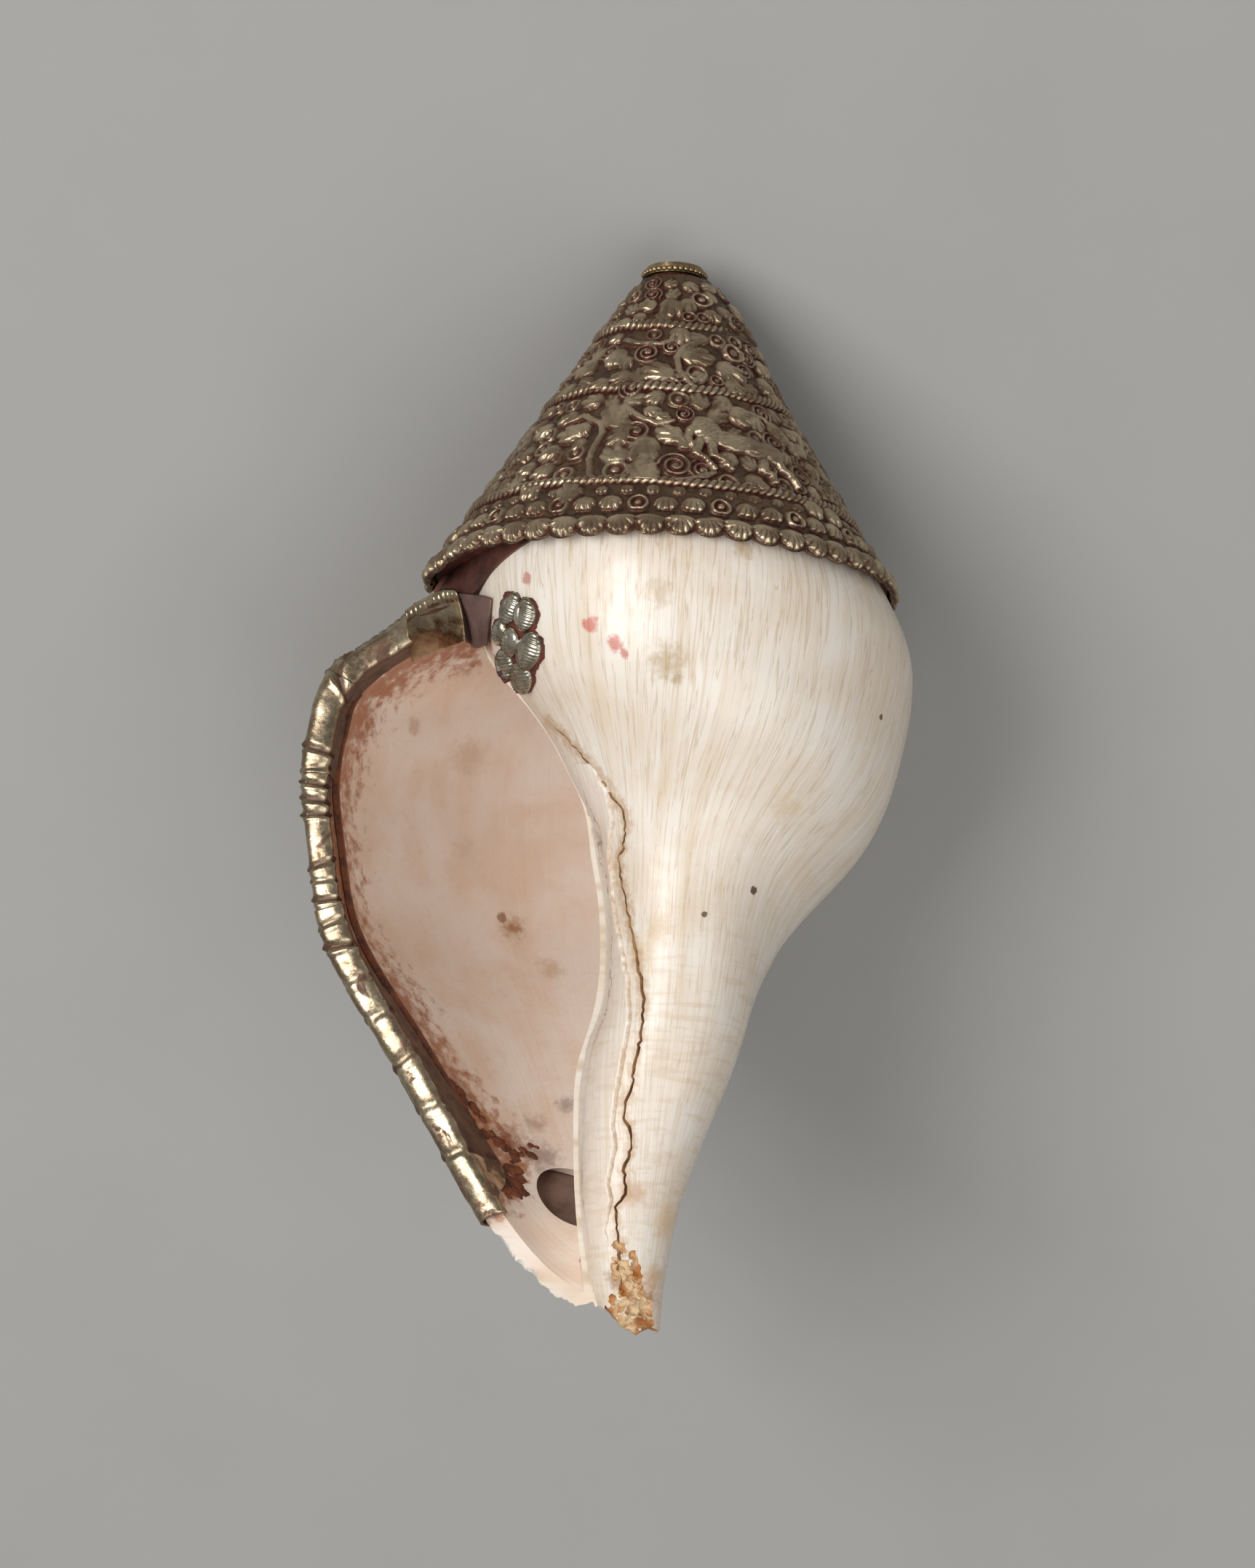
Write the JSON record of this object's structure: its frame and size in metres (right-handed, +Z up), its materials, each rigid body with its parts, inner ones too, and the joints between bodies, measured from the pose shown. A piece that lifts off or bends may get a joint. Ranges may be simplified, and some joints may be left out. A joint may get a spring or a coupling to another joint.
{
  "type": "conch trumpet",
  "caption": "Left-handed conch shell horn lying on its back, with an embossed metal cover and blow hole on its spire and folded metal strips round its lip.",
  "frame": {"origin": "middle of the base of the box around the whole trumpet, lying on its back", "axes": "+Z up, out of the aperture's side; +Y along the shell towards the blow hole, which is lowered; +X to the right as seen from above"},
  "size_m": [0.104, 0.1678, 0.1001],
  "materials": {
    "shell": "satin cream shell with growth lines and stains",
    "cover_metal": "aged embossed metal, dark in its recesses",
    "strip_metal": "worn, crimped sheet",
    "rosette_metal": "polished petals",
    "brown_sheet": "brown, patinated sheet",
    "lac": "red-brown lac"
  },
  "bodies": {
    "root": {"conch_shell": "shell", "cover_collar": "cover_metal", "cover_upper_band": "cover_metal", "cover_middle_band": "cover_metal", "cover_skirt": "cover_metal", "rope_wire_upper": "cover_metal", "rope_wire_middle": "cover_metal", "rope_wire_lower": "cover_metal", "mouth_rim": "cover_metal", "mouth_funnel": "cover_metal", "spire_bedding": "lac", "lip_strip_top": "strip_metal", "lip_strip_corner": "strip_metal", "lip_strip_side": "strip_metal", "lip_strip_foot": "strip_metal", "lip_cement": "lac", "rosette_bedding": "lac", "rosette_plate": "rosette_metal", "patch_cement": "lac", "canal_patch": "brown_sheet", "apron_sheet": "brown_sheet", "apron_tab": "brown_sheet"}
  },
  "joints": []
}
